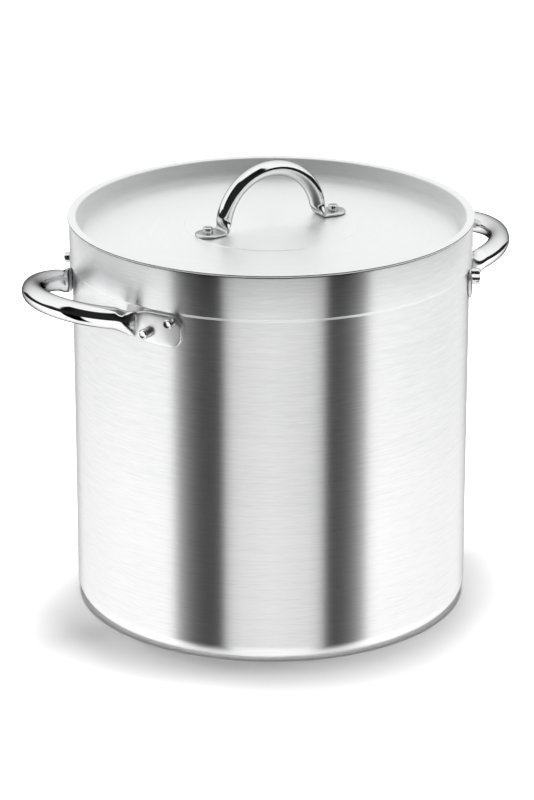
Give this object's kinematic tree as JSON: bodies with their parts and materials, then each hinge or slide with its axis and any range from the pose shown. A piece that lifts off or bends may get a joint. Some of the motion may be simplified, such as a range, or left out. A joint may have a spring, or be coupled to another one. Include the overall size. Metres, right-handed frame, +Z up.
{
  "type": "stock pot with lid",
  "caption": "Straight-sided deep cooking pot with a stepped rim band, riveted tube side handles, and a sunken lid with a riveted tube arch handle.",
  "frame": {"origin": "centre of the base, on the surface that the pot stands on", "axes": "+Z up along the pot's axis, +X towards the right side handle, -Y the front"},
  "size_m": [0.4342, 0.3334, 0.3727],
  "materials": {
    "pot_aluminium": "brushed round the wall",
    "lid_aluminium": "satin, spun rings",
    "handle_steel": "polished stainless steel",
    "rivet_metal": "bright, as pressed"
  },
  "bodies": {
    "pot": {"pot_body": "pot_aluminium", "side_handle_left": "handle_steel", "side_handle_right": "handle_steel", "rivet_left_front_near": "rivet_metal", "rivet_left_front_far": "rivet_metal", "rivet_left_back_near": "rivet_metal", "rivet_left_back_far": "rivet_metal", "rivet_right_front_near": "rivet_metal", "rivet_right_front_far": "rivet_metal", "rivet_right_back_near": "rivet_metal", "rivet_right_back_far": "rivet_metal"},
    "lid": {"lid_shell": "lid_aluminium", "lid_handle": "handle_steel", "lid_rivet_left": "rivet_metal", "lid_rivet_right": "rivet_metal"}
  },
  "joints": [
    {"name": "lid_lift", "type": "slide", "parent": "pot", "child": "lid", "axis": [0, 0, 1], "range_m": [0, 0.4]}
  ]
}
